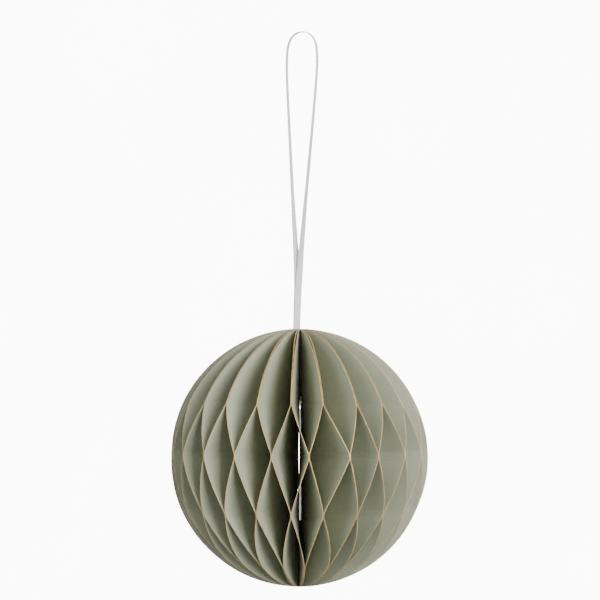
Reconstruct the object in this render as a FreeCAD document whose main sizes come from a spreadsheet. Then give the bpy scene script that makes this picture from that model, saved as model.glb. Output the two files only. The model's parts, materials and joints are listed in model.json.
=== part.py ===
import FreeCAD, Part
import math
import os

# Paper honeycomb ball on a ribbon loop.
#
# Millimetres, +Z up. The origin is the top of the ribbon loop, where a hook takes it, and
# the ball hangs below it on the Z axis. Its front looks along -Y and +X is to the right.
#
# The ball is a fan of stiff card leaves. A station is an upright plane through the ball's
# axis, and neighbouring stations stand one pitch apart. Each leaf lives between two
# stations: it is glued to its neighbour on one side at the glue rows A and C, and to its
# neighbour on the other side at the rows B and D, so it zigzags between the two stations
# and the gaps between the leaves become the diamond cells.

DRIVING_SIZES = {
    # the ball
    "ball_radius": 50.0,
    "leaf_count": 44,
    "card_thickness": 0.35,
    "leaf_gap": 0.05,  # the glue film between two leaves
    "base_angle": -44.8,  # degrees, the station that the fan folds towards
    # heights from the ball's centre at which neighbouring leaves are glued
    "row_a_height": 21.5,
    "row_b_height": 0.8,
    "row_c_height": -21.0,
    "row_d_height": -42.0,
    "glued_half_height": 1.7,
    "slit_height": 41.0,  # above it the leaves of an A pair part a little
    # how far the leaves of a pair stand from their station, as a share of the pitch
    "slit_parting": 0.02,
    "top_parting": 0.16,
    "bottom_parting": 0.10,
    # the hollow core, wider in the middle of the ball than towards the poles
    "core_radius": 5.4,
    "core_half_height": 24.0,
    # the thread that binds the leaves near each pole
    "binding_height": 44.0,
    "binding_radius": 4.4,
    "thread_radius": 0.2,
    "thread_hole_radius": 0.5,
    "thread_hole_length": 2.2,  # of the tool that cuts it, across the card
    # the ribbon
    "loop_height": 115.0,  # from the ball's top to the top of the loop
    "ribbon_width": 2.7,
    "ribbon_thickness": 0.24,
    "strand_offset": 0.2,  # the two strands lie this far each side of the axis at the ball
    "knot_radius": 3.3,
    "knot_half_height": 2.8,
    "knot_height": 20.4,  # from the ball's centre, just under the shoulders of the leaves
    "tail_length": 42.0,
}

# The route of the loop above the ball, from its left strand over the hook to its right
# one: across, and up from the loop's top. It ends just above the ball, so that the
# strands in the ball can swing against it without touching.
LOOP_ROUTE = [
    (-0.2, -114.5),
    (-0.2, -105.0),
    (-0.5, -94.5),
    (-1.7, -81.0),
    (-3.1, -60.0),
    (-4.6, -38.0),
    (-5.8, -20.0),
    (-6.1, -10.0),
    (-5.3, -3.6),
    (-2.2, 0.05),
    (2.4, 0.05),
    (5.5, -3.8),
    (6.2, -10.5),
    (5.7, -20.5),
    (4.3, -39.0),
    (2.6, -61.0),
    (1.1, -82.0),
    (0.4, -95.0),
    (0.2, -105.0),
    (0.2, -114.5),
]

BEND_SHARE = 0.45  # of the shorter run, used by the arc at a point of the route

doc = FreeCAD.newDocument("honeycomb_ball")


def make_sheet():
    """The spreadsheet with the driving sizes."""
    sheet = doc.addObject("Spreadsheet::Sheet", "sizes")
    for row, (alias, value) in enumerate(DRIVING_SIZES.items(), start=1):
        sheet.set(f"A{row}", alias)
        sheet.set(f"B{row}", str(value))
        sheet.setAlias(f"B{row}", alias)
    doc.recompute()
    return sheet


sizes = make_sheet()

# Values worked out from the driving sizes, as expressions on the sheet.
PITCH = "(360 / sizes.leaf_count)"
SPINE_PITCH = "(sizes.card_thickness + sizes.leaf_gap)"
SPINE_RADIUS = f"({SPINE_PITCH} / (2 * sin({PITCH} * 1 deg / 2)))"
CENTRE_HEIGHT = "(-sizes.loop_height - sizes.ball_radius)"


def bind(obj, **expressions):
    """Ties properties to the sheet. A double underscore stands for a dot."""
    for name, expression in expressions.items():
        obj.setExpression(name.replace("__", "."), expression)
    return obj


def named(type_name, name):
    """A new object of the document with a Label of its own."""
    obj = doc.addObject(type_name, name)
    obj.Label = name
    return obj


def leaf_profile():
    """How the leaf between an A and a B station zigzags: height, share of the pitch."""
    profile = [("-sizes.ball_radius", "1 - sizes.bottom_parting")]
    rows = [("row_d_height", "1"), ("row_c_height", "0"), ("row_b_height", "1"), ("row_a_height", "0")]
    for row, share in rows:
        profile.append((f"sizes.{row} - sizes.glued_half_height", share))
        profile.append((f"sizes.{row} + sizes.glued_half_height", share))
    profile.append(("sizes.slit_height", "sizes.slit_parting"))
    profile.append(("sizes.ball_radius", "sizes.top_parting"))
    return profile


def leaf_section(name, height, share):
    """The card's cut at one height: a thin rectangle from the spine outwards."""
    section = named("Part::Plane", name)
    angle = f"({share}) * {PITCH} * 1 deg"
    spine_angle = f"({PITCH} * 1 deg / 2)"
    half_card = "sizes.card_thickness / 2"
    return bind(
        section,
        Length="sizes.ball_radius * 1 mm",
        Width="sizes.card_thickness * 1 mm",
        Placement__Base__x=f"({SPINE_RADIUS} * cos({spine_angle}) + {half_card} * sin({angle})) * 1 mm",
        Placement__Base__y=f"({SPINE_RADIUS} * sin({spine_angle}) - {half_card} * cos({angle})) * 1 mm",
        Placement__Base__z=f"({height} + {CENTRE_HEIGHT}) * 1 mm",
        Placement__Rotation__Angle=angle,
    )


def leaf_cutters(name):
    """The hollow core and the two thread holes, taken out of every leaf."""
    core = bind(
        named("Part::Cylinder", f"{name}_core"),
        Radius="sizes.core_radius * 1 mm",
        Height="2 * sizes.core_half_height * 1 mm",
        Placement__Base__z=f"({CENTRE_HEIGHT} - sizes.core_half_height) * 1 mm",
    )
    cutters = [core]
    for side, sign in (("upper", "+"), ("lower", "-")):
        hole = named("Part::Cylinder", f"{name}_{side}_hole")
        middle = f"({PITCH} * 1 deg / 2)"
        # the hole runs across the card, halfway between the leaf's two stations
        hole.Placement.Rotation = FreeCAD.Rotation(FreeCAD.Vector(1, 0, 0), 90)
        hole_start = f"(sizes.binding_radius * sin({middle}) + sizes.thread_hole_length / 2)"
        bind(
            hole,
            Radius="sizes.thread_hole_radius * 1 mm",
            Height="sizes.thread_hole_length * 1 mm",
            Placement__Base__x=f"(sizes.binding_radius * cos({middle})) * 1 mm",
            Placement__Base__y=f"{hole_start} * 1 mm",
            Placement__Base__z=f"({CENTRE_HEIGHT} {sign} sizes.binding_height) * 1 mm",
        )
        cutters.append(hole)
    fused = named("Part::MultiFuse", f"{name}_cutters")
    fused.Shapes = cutters
    return fused


def master_leaf(name, mirrored):
    """One leaf at the first pitch, from an A to a B station, or the other way round."""
    sections = []
    for number, (height, share) in enumerate(leaf_profile()):
        if mirrored:
            share = f"1 - ({share})"
        sections.append(leaf_section(f"{name}_section_{number:02d}", height, share))
    card = named("Part::Loft", f"{name}_card")
    card.Sections = sections
    card.Solid = True
    card.Ruled = True
    ball = bind(
        named("Part::Sphere", f"{name}_ball"),
        Radius="sizes.ball_radius * 1 mm",
        Placement__Base__z=f"{CENTRE_HEIGHT} * 1 mm",
    )
    rounded = named("Part::Common", f"{name}_rounded")
    rounded.Base = card
    rounded.Tool = ball
    leaf = named("Part::Cut", name)
    leaf.Base = rounded
    leaf.Tool = leaf_cutters(name)
    return leaf


def make_leaves():
    """The fan of leaves, numbered round the ball from the seam."""
    leaves = []
    masters = [master_leaf("a_to_b_leaf", False), master_leaf("b_to_a_leaf", True)]
    count = int(sizes.leaf_count)
    for number in range(1, count + 1):
        place = number - 1 - count // 2  # pitches from the base station
        leaf = named("Part::Compound", f"leaf_{number:02d}")
        leaf.Links = [masters[place % 2]]
        bind(leaf, Placement__Rotation__Angle=f"(sizes.base_angle + {place} * {PITCH}) * 1 deg")
        leaves.append(leaf)
    return leaves


def make_binding_threads():
    """The two rings of thread that hold the leaves together near the poles."""
    threads = []
    for side, sign in (("upper", "+"), ("lower", "-")):
        thread = bind(
            named("Part::Torus", f"{side}_binding_thread"),
            Radius1="sizes.binding_radius * 1 mm",
            Radius2="sizes.thread_radius * 1 mm",
            Placement__Base__z=f"({CENTRE_HEIGHT} {sign} sizes.binding_height) * 1 mm",
        )
        threads.append(thread)
    return threads


def rounded_route(points):
    """Straight runs joined by tangent arcs, each as large as its two runs allow."""
    edges = []
    start = points[0]
    for before, corner, after in zip(points, points[1:], points[2:]):
        run_in = corner - before
        run_out = after - corner
        half_turn = run_in.getAngle(run_out) / 2
        shorter = min(run_in.Length, run_out.Length)
        radius = BEND_SHARE * shorter / math.tan(half_turn)
        print(f"ribbon bend at z {corner.z:.1f}: radius {radius:.1f}")
        run_in.normalize()
        run_out.normalize()
        arc_start = corner - run_in * (BEND_SHARE * shorter)
        arc_end = corner + run_out * (BEND_SHARE * shorter)
        to_centre = run_out - run_in
        to_centre.normalize()
        apex = corner + to_centre * (radius / math.cos(half_turn) - radius)
        edges.append(Part.LineSegment(start, arc_start).toShape())
        edges.append(Part.Arc(arc_start, apex, arc_end).toShape())
        start = arc_end
    edges.append(Part.LineSegment(start, points[-1]).toShape())
    return Part.Wire(edges)


def make_hanging_ribbon():
    """The loop above the ball: a flat strip, swept along its route."""
    path = named("Part::Feature", "ribbon_route")
    path.Shape = rounded_route([FreeCAD.Vector(across, 0, up) for across, up in LOOP_ROUTE])
    cut = named("Part::Plane", "ribbon_cut")
    across, up = LOOP_ROUTE[0]
    bind(
        cut,
        Length="sizes.ribbon_thickness * 1 mm",
        Width="sizes.ribbon_width * 1 mm",
        Placement__Base__x=f"({across} - sizes.ribbon_thickness / 2) * 1 mm",
        Placement__Base__y="-sizes.ribbon_width / 2 * 1 mm",
        Placement__Base__z=f"{up} * 1 mm",
    )
    ribbon = named("Part::Sweep", "hanging_ribbon")
    ribbon.Sections = [cut]
    ribbon.Spine = (path, [f"Edge{number + 1}" for number in range(len(path.Shape.Edges))])
    ribbon.Solid = True
    ribbon.Frenet = False
    doc.recompute()
    expected = sizes.ribbon_width * sizes.ribbon_thickness * path.Shape.Length
    print(f"ribbon loop length {path.Shape.Length:.1f}, volume {ribbon.Shape.Volume:.2f} of {expected:.2f}")
    return ribbon


def ribbon_strips(name, top, length):
    """Two straight strips of ribbon in the core, one each side of the axis."""
    strips = []
    for side, sign in (("left", "-"), ("right", "")):
        strip = bind(
            named("Part::Box", f"{name}_{side}"),
            Length="sizes.ribbon_thickness * 1 mm",
            Width="sizes.ribbon_width * 1 mm",
            Height=f"({length}) * 1 mm",
            Placement__Base__x=f"({sign}sizes.strand_offset - sizes.ribbon_thickness / 2) * 1 mm",
            Placement__Base__y="-sizes.ribbon_width / 2 * 1 mm",
            Placement__Base__z=f"({top} - ({length})) * 1 mm",
        )
        strips.append(strip)
    pair = named("Part::Compound", name)
    pair.Links = strips
    return pair


def make_ribbon_in_core():
    """The stretch from the ball's top to the knot, the knot, and the two tails below it."""
    knot_centre = f"({CENTRE_HEIGHT} + sizes.knot_height)"
    ball_top = "(-sizes.loop_height)"
    # the strips end inside the knot, halfway from its middle to its top and its bottom
    neck_end = f"({knot_centre} + sizes.knot_half_height / 2)"
    tails_start = f"({knot_centre} - sizes.knot_half_height / 2)"
    neck = ribbon_strips("ribbon_neck", ball_top, f"{ball_top} - {neck_end}")
    knot = bind(
        named("Part::Ellipsoid", "ribbon_knot"),
        Radius1="sizes.knot_half_height * 1 mm",
        Radius2="sizes.knot_radius * 1 mm",
        Radius3="sizes.knot_radius * 1 mm",
        Placement__Base__z=f"{knot_centre} * 1 mm",
    )
    tails = ribbon_strips("ribbon_tails", tails_start, "sizes.tail_length")
    return [neck, knot, tails]


def export(nodes):
    """Checks every object, then writes each node to a file of its own."""
    doc.recompute()
    for obj in doc.Objects:
        if "Invalid" in obj.State or "Error" in obj.State:
            raise RuntimeError(f"{obj.Label} failed: {obj.State}")
    for node in nodes:
        if node.Shape.isNull() or not node.Shape.isValid() or not node.Shape.Solids:
            raise RuntimeError(f"{node.Label} has no valid solid")
    os.makedirs("parts", exist_ok=True)
    for node in nodes:
        node.Shape.exportStep(f"parts/{node.Label}.step")
    print(f"{len(nodes)} nodes written")


parts = make_leaves() + make_binding_threads() + [make_hanging_ribbon()] + make_ribbon_in_core()
export(parts)
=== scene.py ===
"""The looks of the paper honeycomb ball: card leaves with gold edges, thread and satin ribbon."""

import json
import math
import random

import bpy
import numpy as np
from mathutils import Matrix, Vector


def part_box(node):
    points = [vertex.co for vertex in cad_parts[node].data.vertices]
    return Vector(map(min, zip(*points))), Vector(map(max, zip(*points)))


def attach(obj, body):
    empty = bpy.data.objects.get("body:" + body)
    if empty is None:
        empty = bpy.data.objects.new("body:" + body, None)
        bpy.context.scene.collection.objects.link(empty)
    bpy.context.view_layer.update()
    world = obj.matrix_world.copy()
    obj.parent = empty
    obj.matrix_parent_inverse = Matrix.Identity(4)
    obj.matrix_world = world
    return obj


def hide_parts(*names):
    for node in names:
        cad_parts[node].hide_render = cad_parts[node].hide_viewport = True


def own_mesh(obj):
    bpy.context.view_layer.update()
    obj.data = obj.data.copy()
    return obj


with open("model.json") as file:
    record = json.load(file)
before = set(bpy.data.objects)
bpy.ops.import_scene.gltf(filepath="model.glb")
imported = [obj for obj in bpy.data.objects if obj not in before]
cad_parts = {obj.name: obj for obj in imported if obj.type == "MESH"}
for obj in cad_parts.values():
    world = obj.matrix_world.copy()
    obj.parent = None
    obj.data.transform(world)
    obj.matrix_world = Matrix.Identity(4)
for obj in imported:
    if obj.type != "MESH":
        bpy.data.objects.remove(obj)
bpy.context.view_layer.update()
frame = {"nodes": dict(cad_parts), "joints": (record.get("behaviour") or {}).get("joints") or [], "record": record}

MM = 0.001

# ---------------------------------------------------------------- sizes from the frame

leaf_names = sorted(name for name in frame["nodes"] if name.startswith("leaf_"))
LEAF_COUNT = len(leaf_names)
HALF_COUNT = LEAF_COUNT // 2
PITCH = 2 * math.pi / LEAF_COUNT

joint_of_child = {joint["child"]: joint for joint in frame["joints"]}
body_of = {
    node: body
    for body, nodes in frame["record"]["behaviour"]["bodies"].items()
    for node in nodes
}
# the fold that all the others follow; its hinge is the inner edge of the leaf on the spine
MAIN_FOLD = frame["record"]["behaviour"]["couplings"][0]["follows"]
MAIN_HINGE = next(joint["pos_m"] for joint in frame["joints"] if joint["name"] == MAIN_FOLD)
SPINE_RADIUS = math.hypot(MAIN_HINGE[0], MAIN_HINGE[1])
BASE_STATION = math.atan2(MAIN_HINGE[1], MAIN_HINGE[0]) - PITCH / 2

BALL_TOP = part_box(leaf_names[0])[1].z
BALL_BOTTOM = min(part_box(name)[0].z for name in leaf_names)
BALL_CENTRE = (BALL_TOP + BALL_BOTTOM) / 2
BALL_RADIUS = (BALL_TOP - BALL_BOTTOM) / 2 + 0.08 * MM
CARD_THICKNESS = 0.25 * MM
# the card fills the spacing of the hinges at the spine, and reaches a little inside them
SPINE_THICKNESS = 0.99 * 2 * SPINE_RADIUS * math.sin(PITCH / 2)
SPINE_INSIDE = 0.30 * MM
INNER_THICKNESS = 0.30 * MM

# heights of the glue rows from the ball's centre, about a millimetre above the design's
ROW_A = 22.6 * MM
ROW_B = 2.2 * MM
ROW_C = -20.0 * MM
ROW_D = -41.6 * MM
GLUED_HALF = 1.0 * MM
SLIT_START = 40.0 * MM

CORE_RADIUS = 5.4 * MM
CORE_HALF_HEIGHT = 24.0 * MM
THREAD_RING = 4.4 * MM
THREAD_RADIUS = 0.2 * MM

# ---------------------------------------------------------------- camera and light

CAMERA_DISTANCE = 1.5
VIEW_WIDTH = 0.2326  # what the square frame shows at the ball's distance
VIEW_MIDDLE = BALL_CENTRE + 0.0611
VIEW_ACROSS = 0.3 * MM  # how far the camera stands right of the ball's axis
SENSOR = 36.0

ROOM_BRIGHTNESS = 0.26
FLOOR_BRIGHTNESS = 12.0
# each light's name, place, width and power in watts
STUDIO_LIGHTS = [
    ("key_light", (0.85, -1.35, 0.1), 1.0, 36),
    ("fill_light", (-1.2, -1.1, 0.3), 1.2, 11),
    ("back_light", (0.9, 1.3, 0.4), 1.4, 16),
]


def make_camera():
    """A long lens in front of the ball, level with the middle of the whole object."""
    data = bpy.data.cameras.new("camera")
    data.sensor_width = SENSOR
    data.lens = SENSOR * CAMERA_DISTANCE / VIEW_WIDTH
    data.clip_end = 20
    camera = bpy.data.objects.new("camera", data)
    camera.location = (VIEW_ACROSS, -CAMERA_DISTANCE, VIEW_MIDDLE)
    camera.rotation_euler = (math.pi / 2, 0, 0)
    bpy.context.scene.collection.objects.link(camera)
    bpy.context.scene.camera = camera


def make_area_light(name, location, aim, size, power):
    """A square light that faces the point it is aimed at."""
    data = bpy.data.lights.new(name, "AREA")
    data.shape = "SQUARE"
    data.size = size
    data.energy = power
    light = bpy.data.objects.new(name, data)
    light.location = location
    direction = Vector(aim) - Vector(location)
    light.rotation_euler = direction.to_track_quat("-Z", "Y").to_euler()
    bpy.context.scene.collection.objects.link(light)


def make_lights():
    """Plain soft studio light: two large lights at the front and one behind, in a white room."""
    for name, place, size, power in STUDIO_LIGHTS:
        make_area_light(name, place, (0, 0, BALL_CENTRE), size, power)
    world = bpy.data.worlds.new("white_room")
    world.use_nodes = True
    background = world.node_tree.nodes["Background"]
    background.inputs["Color"].default_value = (1, 1, 1, 1)
    background.inputs["Strength"].default_value = ROOM_BRIGHTNESS
    bpy.context.scene.world = world


def make_floor():
    """A round pale floor far below the hanging ball, swept up into a wall on every side."""
    drop, wall_top = 1.7, 5.0
    floor_radius, sweep_radius = 3.0, 0.5
    middle_radius = 0.02
    steps, around = 12, 64
    floor_height = BALL_BOTTOM - drop
    outline = [(middle_radius, floor_height), (floor_radius, floor_height)]
    for step in range(1, steps + 1):
        angle = math.pi / 2 * step / steps
        out = floor_radius + sweep_radius * math.sin(angle)
        outline.append((out, floor_height + sweep_radius * (1 - math.cos(angle))))
    outline.append((floor_radius + sweep_radius, wall_top))
    turns = [2 * math.pi * k / around for k in range(around)]
    vertices = [(r * math.cos(t), r * math.sin(t), z) for r, z in outline for t in turns]
    faces = [tuple(range(around))]
    for low in range(0, around * (len(outline) - 1), around):
        for k in range(around):
            m = (k + 1) % around
            faces.append((low + k, low + m, low + around + m, low + around + k))
    floor = make_mesh("floor", vertices, faces, [floor_material()], smooth=True)
    # it is brightly lit by itself, as a lit studio sweep is, and lights nothing else
    floor.visible_diffuse = False
    floor.visible_glossy = False
    floor.visible_shadow = False


# ---------------------------------------------------------------- meshes and nodes


def make_mesh(name, vertices, faces, materials, slots=None, smooth=False):
    """A mesh object from vertices in the row frame. slots gives each face its material."""
    mesh = bpy.data.meshes.new(name)
    mesh.from_pydata([tuple(v) for v in vertices], [], faces)
    for material in materials:
        mesh.materials.append(material)
    if slots is not None:
        mesh.polygons.foreach_set("material_index", slots)
    if smooth:
        mesh.polygons.foreach_set("use_smooth", [True] * len(faces))
    mesh.validate()
    mesh.update()
    obj = bpy.data.objects.new(name, mesh)
    bpy.context.scene.collection.objects.link(obj)
    return obj


class Nodes:
    """A short way to add and join a material's nodes."""

    def __init__(self, name):
        self.material = bpy.data.materials.new(name)
        self.material.use_nodes = True
        self.tree = self.material.node_tree
        self.shader = self.tree.nodes["Principled BSDF"]

    def add(self, kind, **values):
        """A node of a kind. Each value sets the input of its name, or else the property."""
        node = self.tree.nodes.new(kind)
        for name, value in values.items():
            socket = node.inputs.get(name.replace("_", " "))
            if socket is not None:
                socket.default_value = value
            else:
                setattr(node, name, value)
        return node

    def join(self, source, target):
        self.tree.links.new(source, target)

    def noise(self, vector, scale, detail=2.0, roughness=0.5):
        """Noise between 0 and 1, at a scale per unit of the vector."""
        node = self.add("ShaderNodeTexNoise", Scale=scale, Detail=detail, Roughness=roughness)
        self.join(vector, node.inputs["Vector"])
        return node.outputs["Fac"]

    def ramp(self, fac, stops):
        """A colour that runs through stops, each a place between 0 and 1 and a colour."""
        node = self.add("ShaderNodeValToRGB")
        elements = node.color_ramp.elements
        while len(elements) < len(stops):
            elements.new(0.5)
        for element, (place, colour) in zip(elements, stops):
            element.position = place
            element.color = (*colour, 1)
        self.join(fac, node.inputs["Fac"])
        return node.outputs["Color"]

    def multiply(self, share, a, b):
        """Colour a multiplied by colour b, as far as share says."""
        node = self.add("ShaderNodeMix", data_type="RGBA", blend_type="MULTIPLY")
        factor, first, second = (node.inputs[k] for k in (0, 6, 7))
        factor.default_value = share
        self.join(a, first)
        self.join(b, second)
        return node.outputs[2]

    def maths(self, operation, a, b):
        """Two values joined by a maths operation."""
        node = self.add("ShaderNodeMath", operation=operation)
        self.join(a, node.inputs[0])
        self.join(b, node.inputs[1])
        return node.outputs[0]

    def bump(self, height, strength, distance):
        """Bumps the surface by a height between 0 and 1, over a distance in metres."""
        node = self.add("ShaderNodeBump", Strength=strength, Distance=distance)
        self.join(height, node.inputs["Height"])
        self.join(node.outputs["Normal"], self.shader.inputs["Normal"])

    def roughness(self, fac, low, high):
        """Makes the surface as rough as low where fac is 0, and as high where it is 1."""
        node = self.add("ShaderNodeMapRange")
        self.join(fac, node.inputs["Value"])
        node.inputs["To Min"].default_value = low
        node.inputs["To Max"].default_value = high
        self.join(node.outputs["Result"], self.shader.inputs["Roughness"])

    def stretched(self, scale):
        """Object coordinates, in metres, scaled along each axis."""
        coordinates = self.add("ShaderNodeTexCoord")
        mapping = self.add("ShaderNodeMapping", Scale=scale)
        self.join(coordinates.outputs["Object"], mapping.inputs["Vector"])
        return mapping.outputs["Vector"]


def floor_material():
    nodes = Nodes("pale_floor")
    place = nodes.stretched((1, 1, 1))
    tone = nodes.noise(place, 6.0)
    colour = nodes.ramp(tone, [(0.3, (0.90, 0.90, 0.90)), (0.7, (0.93, 0.93, 0.93))])
    nodes.join(colour, nodes.shader.inputs["Base Color"])
    nodes.join(colour, nodes.shader.inputs["Emission Color"])
    nodes.shader.inputs["Emission Strength"].default_value = FLOOR_BRIGHTNESS
    nodes.shader.inputs["Roughness"].default_value = 0.9
    nodes.shader.inputs["Specular IOR Level"].default_value = 0.1
    return nodes.material


def card_material():
    """Sage card dyed through: soft mottling, short fibres and a dry, faintly grainy face."""
    nodes = Nodes("sage_card")
    place = nodes.stretched((1, 1, 1))
    cloud = nodes.noise(place, 55.0, 3.0)
    fibres = nodes.noise(nodes.stretched((2600, 2600, 700)), 1.0, 4.0, 0.7)
    flecks = nodes.noise(nodes.stretched((900, 900, 2600)), 1.0, 3.0, 0.6)
    tone = nodes.ramp(cloud, [(0.30, (0.450, 0.468, 0.345)), (0.70, (0.505, 0.520, 0.392))])
    fibre_tone = nodes.ramp(fibres, [(0.25, (0.86, 0.86, 0.85)), (0.75, (1.06, 1.06, 1.05))])
    colour = nodes.multiply(0.55, tone, fibre_tone)
    nodes.join(colour, nodes.shader.inputs["Base Color"])
    grain = nodes.maths("ADD", fibres, flecks)
    nodes.bump(grain, 0.22, 0.06 * MM)
    nodes.roughness(fibres, 0.66, 0.86)
    nodes.shader.inputs["Specular IOR Level"].default_value = 0.35
    nodes.shader.inputs["Sheen Weight"].default_value = 0.08
    nodes.shader.inputs["Sheen Roughness"].default_value = 0.6
    return nodes.material


def gold_material():
    """Gold foil on the cut edge of the card, worn a little and uneven from the knife."""
    nodes = Nodes("gold_edge")
    wear = nodes.noise(nodes.stretched((900, 900, 420)), 1.0, 4.0, 0.65)
    colour = nodes.ramp(
        wear, [(0.30, (0.66, 0.43, 0.13)), (0.52, (0.92, 0.66, 0.24)), (0.75, (1.00, 0.82, 0.42))]
    )
    nodes.join(colour, nodes.shader.inputs["Base Color"])
    cut = nodes.noise(nodes.stretched((2500, 2500, 900)), 1.0, 3.0)
    nodes.bump(cut, 0.3, 0.05 * MM)
    nodes.roughness(wear, 0.30, 0.52)
    nodes.shader.inputs["Metallic"].default_value = 0.25
    return nodes.material


def ribbon_material():
    """White satin: a fine plain weave, with a soft sheen and faint streaks along it."""
    nodes = Nodes("white_satin")
    weave_place = nodes.add("ShaderNodeUVMap").outputs["UV"]
    warp = nodes.add("ShaderNodeTexWave", bands_direction="Y", Scale=3.1, Distortion=0.4)
    weft = nodes.add("ShaderNodeTexWave", bands_direction="X", Scale=9.0, Distortion=0.5)
    for threads in (warp, weft):
        nodes.join(weave_place, threads.inputs["Vector"])
    weave = nodes.maths("MAXIMUM", warp.outputs["Fac"], weft.outputs["Fac"])
    streak_place = nodes.add("ShaderNodeMapping", Scale=(14, 7, 1))
    nodes.join(weave_place, streak_place.inputs["Vector"])
    streaks = nodes.noise(streak_place.outputs["Vector"], 1.0, 3.0)
    tone = nodes.ramp(streaks, [(0.3, (0.92, 0.91, 0.96)), (0.7, (0.99, 0.98, 1.0))])
    shade = nodes.ramp(weave, [(0.2, (0.88, 0.87, 0.90)), (0.8, (1.0, 1.0, 1.0))])
    nodes.join(nodes.multiply(1.0, tone, shade), nodes.shader.inputs["Base Color"])
    nodes.bump(weave, 0.35, 0.08 * MM)
    nodes.roughness(streaks, 0.42, 0.58)
    nodes.shader.inputs["Sheen Weight"].default_value = 0.2
    return nodes.material


def thread_material():
    """Undyed cotton thread: a plied twist and a little fuzz in its tone."""
    nodes = Nodes("cotton_thread")
    twist = nodes.add("ShaderNodeTexWave", Scale=900.0, Distortion=1.0)
    nodes.join(nodes.stretched((1, 1, 2)), twist.inputs["Vector"])
    tone = nodes.ramp(twist.outputs["Fac"], [(0.2, (0.55, 0.53, 0.47)), (0.8, (0.80, 0.78, 0.72))])
    nodes.join(tone, nodes.shader.inputs["Base Color"])
    nodes.bump(twist.outputs["Fac"], 0.4, 0.05 * MM)
    nodes.shader.inputs["Roughness"].default_value = 0.85
    return nodes.material


CARD, GOLD, SATIN, THREAD = card_material(), gold_material(), ribbon_material(), thread_material()

# ---------------------------------------------------------------- leaves

RADIAL_STEPS = 9
HOLE_START = 2  # index along a leaf of the near side of its thread hole
RIM_STEP = math.radians(1.9)
EDGE_WRAP = 0.03 * MM  # how far the foil laps onto each face
EDGE_ROUND = 0.05 * MM
BEND_HALF = 0.55 * MM  # the card rounds each fold over this much height
PINCH = math.radians(0.07)  # brings the outer edges of a glued pair together
NOTCH_STEP = 0.12 * MM
HOLE_NEAR, HOLE_FAR = 1.15 * MM, 2.05 * MM  # along the leaf, from its spine hinge
HOLE_LOW, HOLE_HIGH = 43.5 * MM, 44.5 * MM
HOLE_MIDDLE = (HOLE_LOW + HOLE_HIGH) / 2
# near the poles, where a leaf is narrow, its places are these shares of its width instead
NARROW_NEAR, NARROW_FAR = 0.3, 0.6
SECTION_SPACING = 0.3 * MM  # no even section stands this close to one at a corner
# how far a leaf is from its first station, as a share of the pitch
BOTTOM_SHARE, SLIT_SHARE, TOP_SHARE = 0.93, 0.015, 0.16
RIM_VERTICES = 4
CARD_SHARP_ANGLE = math.radians(38)
# distances along a leaf from its hinge, and half the card's thickness there
FACE_PROFILE = (
    [-SPINE_INSIDE, 0.0, HOLE_FAR],
    [INNER_THICKNESS / 2, SPINE_THICKNESS / 2, CARD_THICKNESS / 2],
)
# how far the stations stand out of true, in degrees: 17 at the front, from the left to the
# right, four at the back, and the most that any other does
FIRST_FRONT_STATION = -13
FRONT_LEANS = [
    -2.0, -0.5, -2.0, -1.5, -1.0, -0.5, 0.0, 0.0, 0.0,
    -1.0, 2.0, 0.0, 0.0, -1.0, 0.5, -1.5, 0.0,
]
FIRST_BACK_STATION = 15
BACK_LEANS = [1.0, 2.5, 3.2, 1.0]
OTHER_LEAN = 1.2
SHORTEST_RIM = -0.22  # millimetres by which the smallest leaf's radius falls short


def station_shares():
    """How the leaf between an A and a B station zigzags: height, share of the pitch."""
    shares = [(-BALL_RADIUS, BOTTOM_SHARE)]
    for row, share in ((ROW_D, 1.0), (ROW_C, 0.0), (ROW_B, 1.0), (ROW_A, 0.0)):
        shares += [(row - GLUED_HALF, share), (row + GLUED_HALF, share)]
    shares += [(SLIT_START, SLIT_SHARE), (BALL_RADIUS, TOP_SHARE)]
    return shares


SHARES = station_shares()


def zigzag(height):
    """The share of the pitch at a height, with each fold of the card rounded a little."""
    offsets = [-1.0, -0.5, 0.0, 0.5, 1.0]
    heights, shares = zip(*SHARES)
    return float(np.mean([np.interp(height + k * BEND_HALF, heights, shares) for k in offsets]))


def reach(radius, spine, direction, height):
    """How far from its spine hinge a leaf reaches on a ball of this radius."""
    along = spine.dot(direction)
    inside = along * along - spine.length_squared + radius * radius - height * height
    return -along + math.sqrt(max(inside, 0.0))


def leaf_heights():
    """The heights of a leaf's sections: even along the rim, and one at each corner of its cut."""
    top = BALL_TOP - BALL_CENTRE
    latitude = math.asin(top / BALL_RADIUS)
    steps = round(2 * latitude / RIM_STEP)
    heights = [BALL_RADIUS * math.sin(latitude * (2 * k / steps - 1)) for k in range(steps + 1)]
    corners = []
    for share_height, _ in SHARES[1:-1]:
        corners += [share_height - BEND_HALF / 2, share_height, share_height + BEND_HALF / 2]
    for corner in (CORE_HALF_HEIGHT, CORE_HALF_HEIGHT + NOTCH_STEP, HOLE_LOW, HOLE_HIGH):
        corners += [corner, -corner]
    kept = [h for h in heights if all(abs(h - c) > SECTION_SPACING for c in corners)]
    return sorted(kept + corners)


HEIGHTS = leaf_heights()


def radial_places(height, inner, outer):
    """Distances along a leaf from its inner edge to the foil's lap on its rim."""
    lap = outer - EDGE_WRAP
    if abs(height) > CORE_HALF_HEIGHT:
        near = min(HOLE_NEAR, NARROW_NEAR * lap)
        far = min(HOLE_FAR, NARROW_FAR * lap)
        steps = RADIAL_STEPS - 3
        rest = [far + (lap - far) * k / steps for k in range(1, steps + 1)]
        return [-SPINE_INSIDE, 0.0, near, far] + rest
    return [inner + (lap - inner) * k / RADIAL_STEPS for k in range(RADIAL_STEPS + 1)]


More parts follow.
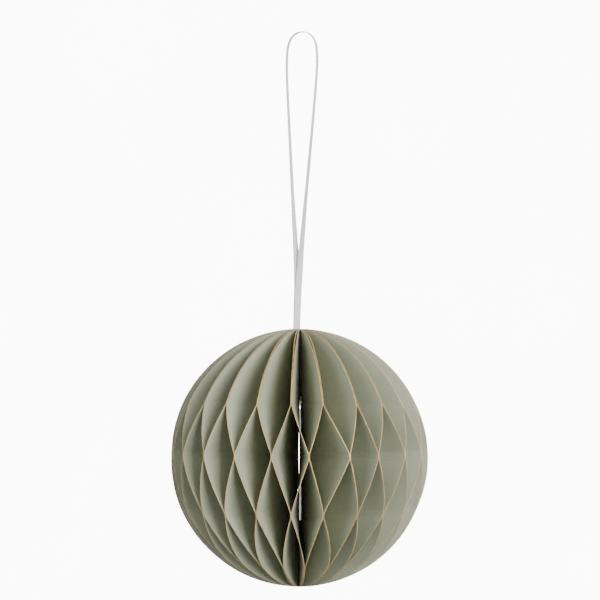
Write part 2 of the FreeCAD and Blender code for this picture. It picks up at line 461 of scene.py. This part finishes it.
def leaf_section(spine, angle, height, radius):
    """One closed outline of the card: along one face, round the rim, back on the other."""
    direction = Vector((math.cos(angle), math.sin(angle)))
    side = Vector((-direction.y, direction.x))
    inner = 0.0
    if abs(height) <= CORE_HALF_HEIGHT:
        inner = reach(CORE_RADIUS, spine, direction, 0.0)
    outer = max(reach(radius, spine, direction, height), inner + 5 * EDGE_WRAP)
    places = radial_places(height, inner, outer)
    half = CARD_THICKNESS / 2
    face = [(along, float(np.interp(along, *FACE_PROFILE))) for along in places]
    outline = [(along, -across) for along, across in face]
    outline += [(outer - EDGE_ROUND, -half), (outer, EDGE_ROUND - half)]
    outline += [(outer, half - EDGE_ROUND), (outer - EDGE_ROUND, half)]
    outline += reversed(face)
    return [
        (
            spine.x + direction.x * along + side.x * across,
            spine.y + direction.y * along + side.y * across,
            BALL_CENTRE + height,
        )
        for along, across in outline
    ]


def leaf_faces(rows, count):
    """Quads between the sections, the two end caps, and the two thread holes."""
    card, gold = 0, 1  # the leaf's two materials
    faces, slots = [], []
    last = count - 1
    middles = [abs(low + high) / 2 for low, high in zip(HEIGHTS, HEIGHTS[1:])]
    holes = [row for row, middle in enumerate(middles) if abs(middle - HOLE_MIDDLE) < 0.1 * MM]
    for row in range(rows - 1):
        low, high = row * count, (row + 1) * count
        for i in range(count):
            j = (i + 1) % count
            if row in holes and i in (HOLE_START, last - HOLE_START - 1):
                continue
            faces.append((low + i, low + j, high + j, high + i))
            slots.append(gold if RADIAL_STEPS <= i <= RADIAL_STEPS + RIM_VERTICES else card)
        if row in holes:
            near, far = HOLE_START, HOLE_START + 1
            front = (low + near, low + far, high + far, high + near)
            back = (low + last - near, low + last - far, high + last - far, high + last - near)
            for k in range(4):
                m = (k + 1) % 4
                faces.append((front[k], front[m], back[m], back[k]))
                slots.append(card)
    for row, flip in ((0, False), (rows - 1, True)):
        for i in range(count // 2 - 1):
            quad = [row * count + k for k in (i, last - i, last - 1 - i, i + 1)]
            faces.append(tuple(reversed(quad)) if flip else tuple(quad))
            slots.append(gold if i >= RADIAL_STEPS else card)
    return faces, slots


def make_leaf(leaf, place, station_angles, radius):
    """A leaf of card in one piece, zigzagging between the two stations at its sides."""
    middle = BASE_STATION + (place + 0.5) * PITCH
    spine = Vector((math.cos(middle), math.sin(middle))) * SPINE_RADIUS
    start, end = station_angles[place] - PINCH, station_angles[place + 1] + PINCH
    if place % 2:
        start, end = end, start
    loops = [
        leaf_section(spine, start + zigzag(h) * (end - start), h, radius) for h in HEIGHTS
    ]
    faces, slots = leaf_faces(len(loops), len(loops[0]))
    vertices = [vertex for loop in loops for vertex in loop]
    obj = make_mesh(f"{leaf}_card", vertices, faces, [CARD, GOLD], slots, smooth=True)
    obj.data.set_sharp_from_angle(angle=CARD_SHARP_ANGLE)
    return obj


def make_leaves():
    """The whole fan. Hand gluing leaves each station and each leaf a little out of true."""
    rng = random.Random(7)
    leans = {k: rng.uniform(-OTHER_LEAN, OTHER_LEAN) for k in range(-HALF_COUNT, HALF_COUNT)}
    leans.update(enumerate(FRONT_LEANS, start=FIRST_FRONT_STATION))
    leans.update(enumerate(BACK_LEANS, start=FIRST_BACK_STATION))
    leans[HALF_COUNT] = leans[-HALF_COUNT]
    station_angles = {k: BASE_STATION + k * PITCH + math.radians(lean) for k, lean in leans.items()}
    for place, leaf in enumerate(leaf_names, start=-HALF_COUNT):
        radius = BALL_RADIUS + rng.uniform(SHORTEST_RIM, 0.0) * MM
        piece = make_leaf(leaf, place, station_angles, radius)
        # each leaf rides on the body of its own first station, and the fold lays it flat there
        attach(piece, body_of[leaf])
        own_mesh(piece)
        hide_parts(leaf)


# ---------------------------------------------------------------- thread


def ply_ring(name, height):
    """A ring of thread of two plies, as closed helices round one circle."""
    ply = THREAD_RADIUS / 2
    turns, plies = 64, 2
    around, across = turns * 6, 8
    vertices, faces = [], []
    for strand in range(plies):
        first = len(vertices)
        for step in range(around):
            turn = 2 * math.pi * step / around
            twist = turn * turns + strand * 2 * math.pi / plies
            middle = THREAD_RING + ply * math.cos(twist)
            lift = height + ply * math.sin(twist)
            for k in range(across):
                angle = 2 * math.pi * k / across
                out = middle + ply * math.cos(angle)
                up = lift + ply * math.sin(angle)
                vertices.append((out * math.cos(turn), out * math.sin(turn), up))
        for step in range(around):
            low = first + step * across
            high = first + (step + 1) % around * across
            for k in range(across):
                m = (k + 1) % across
                faces.append((low + k, high + k, high + m, low + m))
    return make_mesh(name, vertices, faces, [THREAD], smooth=True)


def make_threads():
    """The two binding threads, each a ring of two plies at the height of its part, riding on the spine."""
    for node in ("upper_binding_thread", "lower_binding_thread"):
        low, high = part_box(node)
        height = (low.z + high.z) / 2
        ring = ply_ring(f"{node}_ply", height)
        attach(ring, "spine")
        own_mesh(ring)
        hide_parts(node)


# ---------------------------------------------------------------- ribbon

RIBBON_WIDTH = 2.7 * MM
RIBBON_THICKNESS = 0.32 * MM
SELVEDGE = 0.12  # share of the half width that the woven edge takes
# places across the ribbon, from -1 to 1, and its thickness there as a share
RIBBON_ACROSS = [-1.0, -(1 - SELVEDGE), -0.5, 0.0, 0.5, 1 - SELVEDGE, 1.0]
RIBBON_SWELL = [1.0, 1.25, 0.85, 0.8, 0.85, 1.25, 1.0]
WEAVE_LENGTH = 10 * MM  # of ribbon that one unit of the weave's pattern covers
RIBBON_SHARP_ANGLE = math.radians(50)

# The route of the loop above the ball, from its left strand over the hook to its right
# one: millimetres across, towards the back, and up from the loop's top.
LOOP_ROUTE = [
    (-1.05, 0.22, -115.2),
    (-0.8, 0.22, -105.0),
    (-0.6, 0.22, -96.0),
    (-1.55, 0.15, -81.0),
    (-2.75, 0.05, -60.0),
    (-3.8, 0.0, -38.0),
    (-4.7, 0.0, -20.0),
    (-4.9, 0.0, -10.0),
    (-4.0, 0.0, -3.3),
    (-0.9, 0.0, 0.05),
    (3.6, 0.0, 0.05),
    (6.5, 0.0, -3.5),
    (7.1, 0.0, -10.5),
    (6.5, 0.0, -20.5),
    (4.9, 0.0, -39.0),
    (2.85, -0.05, -61.0),
    (1.1, -0.15, -81.0),
    (-0.1, -0.22, -96.0),
    (-0.6, -0.22, -105.0),
    (-0.95, -0.22, -115.2),
]
# How far the ribbon has turned its face towards the front, at heights from the loop's top.
TURN_HEIGHTS = [-115, -96, -84, -62, -30, 0]
TURN_DEGREES = [78, 66, 42, 23, 17, 14]
# The same below the ball's top, where it turns edge-on in the core, and faces the front
# again at the ends of the tails. Heights are from the ball's centre.
CORE_TURN_HEIGHTS = [-24, -15, -9, 22, 38, 50]
CORE_TURN_DEGREES = [55, 42, 6, 4, 30, 78]


def spline_points(name, points):
    """Points along a smooth NURBS spline through the route, in metres."""
    curve = bpy.data.curves.new(name, "CURVE")
    curve.dimensions = "3D"
    curve.resolution_u = 8
    spline = curve.splines.new("NURBS")
    spline.points.add(len(points) - 1)
    for point, place in zip(spline.points, points):
        point.co = (*[value * MM for value in place], 1)
    spline.order_u = 3
    spline.use_endpoint_u = True
    route = bpy.data.objects.new(name, curve)
    bpy.context.scene.collection.objects.link(route)
    bpy.context.view_layer.update()
    evaluated = route.evaluated_get(bpy.context.evaluated_depsgraph_get())
    mesh = bpy.data.meshes.new_from_object(evaluated)
    line = [Vector(vertex.co) for vertex in mesh.vertices]
    bpy.data.meshes.remove(mesh)
    bpy.data.objects.remove(route)
    return line


def strip_outline(point, flat, normal):
    """The ribbon's section at a point: across one face, and back across the other."""
    half_width, half_thickness = RIBBON_WIDTH / 2, RIBBON_THICKNESS / 2
    section = list(zip(RIBBON_ACROSS, RIBBON_SWELL))
    one = [point + flat * (u * half_width) + normal * (s * half_thickness) for u, s in section]
    section.reverse()
    return one + [
        point + flat * (u * half_width) - normal * (s * half_thickness) for u, s in section
    ]


def strip_faces(rows, count):
    """Quads between the sections of a strip, and its two end caps."""
    faces = []
    for low in range(0, (rows - 1) * count, count):
        high = low + count
        for i in range(count):
            m = (i + 1) % count
            faces.append((low + i, high + i, high + m, low + m))
    for row, flip in ((0, True), (rows - 1, False)):
        for i in range(count // 2 - 1):
            quad = [row * count + k for k in (i, i + 1, count - 2 - i, count - 1 - i)]
            faces.append(tuple(reversed(quad)) if flip else tuple(quad))
    return faces


def strip(name, line, turns):
    """A flat ribbon along a line. turns gives, in radians, how far it faces the front there."""
    last = len(line) - 1
    loops, distances, done = [], [], 0.0
    for k, point in enumerate(line):
        tangent = (line[min(k + 1, last)] - line[max(k - 1, 0)]).normalized()
        flat = Vector((math.sin(turns[k]), math.cos(turns[k]), 0))
        flat = (flat - tangent * flat.dot(tangent)).normalized()
        loops.append(strip_outline(point, flat, tangent.cross(flat)))
        if k:
            done += (point - line[k - 1]).length
        distances.append(done)
    count = len(loops[0])
    vertices = [vertex for loop in loops for vertex in loop]
    obj = make_mesh(name, vertices, strip_faces(len(loops), count), [SATIN], smooth=True)
    layer = obj.data.uv_layers.new(name="weave")
    places = RIBBON_ACROSS + RIBBON_ACROSS[::-1]
    for loop in obj.data.loops:
        row, i = divmod(loop.vertex_index, count)
        layer.data[loop.index].uv = (distances[row] / WEAVE_LENGTH, places[i] / 2 + 0.5)
    obj.data.set_sharp_from_angle(angle=RIBBON_SHARP_ANGLE)
    return obj


def turns_along(line, origin, heights, degrees):
    """The turn in radians at each point of a line, from a table by millimetres above origin."""
    rises = [(point.z - origin) / MM for point in line]
    return [math.radians(float(np.interp(rise, heights, degrees))) for rise in rises]


def make_hanging_ribbon(neck_pieces):
    """The loop: edge-on over the hook, and turned to face the front where it meets the ball."""
    line = spline_points("ribbon_route", LOOP_ROUTE)
    piece = strip("satin_loop", line, turns_along(line, 0.0, TURN_HEIGHTS, TURN_DEGREES))
    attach(piece, "ribbon")
    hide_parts("hanging_ribbon")


def core_turns(line):
    """The turn of a strip in the core at each of its points."""
    return turns_along(line, BALL_CENTRE, CORE_TURN_HEIGHTS, CORE_TURN_DEGREES)


def make_neck():
    """The two strands between the ball's top and the knot, side by side in the core."""
    low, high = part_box("ribbon_neck")
    top, bottom = high.z / MM, low.z / MM
    pieces = []
    for side, sign in (("left", -1), ("right", 1)):
        route = [
            (-1.0 + 0.05 * sign, -0.22 * sign, top + 0.3),
            (-0.9 + 0.12 * sign, -0.18 * sign, top - 5),
            (-1.0 + 0.18 * sign, -0.10 * sign, top - 10),
            (-1.2 + 0.2 * sign, 0.0, bottom),
        ]
        line = spline_points(f"neck_{side}_route", route)
        piece = strip(f"ribbon_neck_{side}", line, core_turns(line))
        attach(piece, "knot")
        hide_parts("ribbon_neck")
        pieces.append(piece)
    return pieces


# The knot's shape, as shares of half its CAD solid: how far the strand's middle winds across,
# towards the back and up, the strand's half thickness, and how flat the strand is.
KNOT_WINDING = (0.72, 0.5, 0.78)
KNOT_STRAND = 0.30
KNOT_FLATNESS = 0.75
KNOT_PLEAT = 0.10  # depth of the three pleats along the strand
KNOT_NARROWING = 0.55  # it is pulled this much narrower than the solid
KNOT_LEAN = -1.0 * MM  # and leans this far across the core
KNOT_WEAVES = 2.4  # units of the weave's pattern along the strand


def make_knot():
    """An overhand knot: one flattened strand that winds over and through itself."""
    low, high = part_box("ribbon_knot")
    middle = (low + high) / 2 + Vector((KNOT_LEAN, 0, 0))
    half = (high - low) / 2
    half.x *= KNOT_NARROWING
    steps, around = 150, 10
    path = []
    for step in range(steps):
        t = 2 * math.pi * step / steps
        wind = (
            (math.sin(t) + 2 * math.sin(2 * t)) / 3,
            math.sin(3 * t),
            (math.cos(t) - 2 * math.cos(2 * t)) / 3,
        )
        path.append(middle + Vector(w * share * h for w, share, h in zip(wind, KNOT_WINDING, half)))
    vertices, faces = [], []
    for step, point in enumerate(path):
        tangent = (path[(step + 1) % steps] - path[step - 1]).normalized()
        side = tangent.cross(Vector((0, 1, 0))).normalized()
        other = tangent.cross(side)
        for k in range(around):
            angle = 2 * math.pi * k / around
            out = KNOT_STRAND * (1 + KNOT_PLEAT * math.cos(3 * angle))
            along_side = math.cos(angle) * out * KNOT_FLATNESS * half.x
            vertices.append(point + side * along_side + other * (math.sin(angle) * out * half.y))
    for step in range(steps):
        a, b = step * around, (step + 1) % steps * around
        for k in range(around):
            m = (k + 1) % around
            faces.append((a + k, a + m, b + m, b + k))
    piece = make_mesh("ribbon_knot_wound", vertices, faces, [SATIN], smooth=True)
    layer = piece.data.uv_layers.new(name="weave")
    for loop in piece.data.loops:
        row, k = divmod(loop.vertex_index, around)
        layer.data[loop.index].uv = (row / steps * KNOT_WEAVES, k / around)
    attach(piece, "knot")
    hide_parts("ribbon_knot")
    return piece


def make_tails():
    """The two cut ends, hanging in the core below the knot."""
    low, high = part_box("ribbon_tails")
    top = high.z / MM
    length = (high.z - low.z) / MM
    for side, sign, share in (("left", -1, 0.95), ("right", 1, 1.03)):
        route = [
            (-0.1 + 0.17 * sign, 0.0, top),
            (0.4 + 0.17 * sign, 0.2 * sign, top - 0.16 * length),
            (0.6 + 0.2 * sign, 0.3 * sign, top - 0.38 * length * share),
            (0.7 + 0.2 * sign, 0.3 * sign, top - 0.62 * length * share),
            (0.5 + 0.3 * sign, 0.4 * sign, top - 0.82 * length * share),
            (0.4 + 0.4 * sign, 0.5 * sign, top - length * share),
        ]
        line = spline_points(f"tail_{side}_route", route)
        piece = strip(f"ribbon_tail_{side}", line, core_turns(line))
        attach(piece, "knot")
        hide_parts("ribbon_tails")


make_camera()
make_lights()
make_floor()
knot = make_knot()
make_hanging_ribbon(make_neck() + [knot])
make_tails()
make_threads()
make_leaves()
